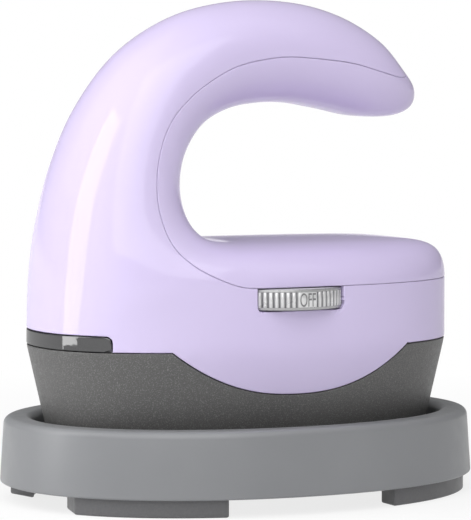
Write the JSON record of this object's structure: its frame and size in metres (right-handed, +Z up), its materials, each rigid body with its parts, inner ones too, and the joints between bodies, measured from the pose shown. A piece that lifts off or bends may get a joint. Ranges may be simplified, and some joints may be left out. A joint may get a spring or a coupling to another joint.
{
  "type": "mini heat press",
  "caption": "Handheld craft heat press with a C-shaped handle, an oval heated plate and a thumbwheel, resting in a footed oval tray.",
  "frame": {"origin": "on the table, under the middle of the tray", "axes": "+Z up, +X towards the toe, the open end of the handle, and -Y towards the side with the thumbwheel"},
  "size_m": [0.1396, 0.104, 0.1408],
  "materials": {
    "lilac_gloss": "high gloss moulded",
    "speckled_grey": "satin, finely speckled",
    "smoked_window": "polished, smoked",
    "satin_grey": "satin moulded",
    "silver_plastic": "silver painted",
    "black_plastic": "plain moulded",
    "component_black": "plain moulded",
    "board_green": "solder mask",
    "zinc_steel": "zinc plated",
    "lamp_clear": "clear epoxy",
    "lead_silicone": "silicone sleeve",
    "black_rubber": "moulded rubber",
    "cast_aluminium": "cast, smooth working face",
    "ceramic_white": "glazed ceramic",
    "mica_sheet": "pressed mica",
    "pad_silicone": "silicone rubber"
  },
  "bodies": {
    "tray": {"safety_tray": "satin_grey", "rest_pad_1": "pad_silicone", "rest_pad_2": "pad_silicone", "rest_pad_3": "pad_silicone", "rest_pad_4": "pad_silicone"},
    "press": {"housing_shell": "lilac_gloss", "inner_cover": "lilac_gloss", "base_skirt": "speckled_grey", "indicator_window": "smoked_window", "rotary_switch": "component_black", "control_board": "board_green", "relay": "component_black", "capacitor": "component_black", "board_screw_1": "zinc_steel", "board_screw_2": "zinc_steel", "board_screw_3": "zinc_steel", "board_screw_4": "zinc_steel", "lamp_board": "board_green", "status_lamp_1": "lamp_clear", "status_lamp_2": "lamp_clear", "status_lamp_3": "lamp_clear", "heater_lead_1": "lead_silicone", "heater_lead_2": "lead_silicone", "cord_gland": "black_rubber", "cord_clamp": "black_plastic", "cord_clamp_screw_1": "zinc_steel", "cord_clamp_screw_2": "zinc_steel", "housing_screw_1": "zinc_steel", "housing_screw_2": "zinc_steel", "housing_screw_3": "zinc_steel", "housing_screw_4": "zinc_steel", "soleplate": "cast_aluminium", "heating_element": "zinc_steel", "thermal_fuse": "ceramic_white", "thermistor": "ceramic_white", "sensor_clamp": "zinc_steel", "sensor_screw_1": "zinc_steel", "insulation_sheet": "mica_sheet", "heat_shield": "zinc_steel", "sole_screw_1": "zinc_steel", "sole_screw_2": "zinc_steel", "sole_screw_3": "zinc_steel", "sole_screw_4": "zinc_steel"},
    "wheel": {"thumbwheel": "silver_plastic", "wheel_shaft": "black_plastic"}
  },
  "joints": [
    {"name": "press_lift", "type": "slide", "parent": "tray", "child": "press", "axis": [0, 0, 1], "range_m": [0, 0.06]},
    {"name": "thumbwheel_turn", "type": "hinge", "parent": "press", "child": "wheel", "pos_m": [0, -0.0251, 0.0581], "axis": [0, 0, -1], "range_deg": [0, 180]}
  ]
}
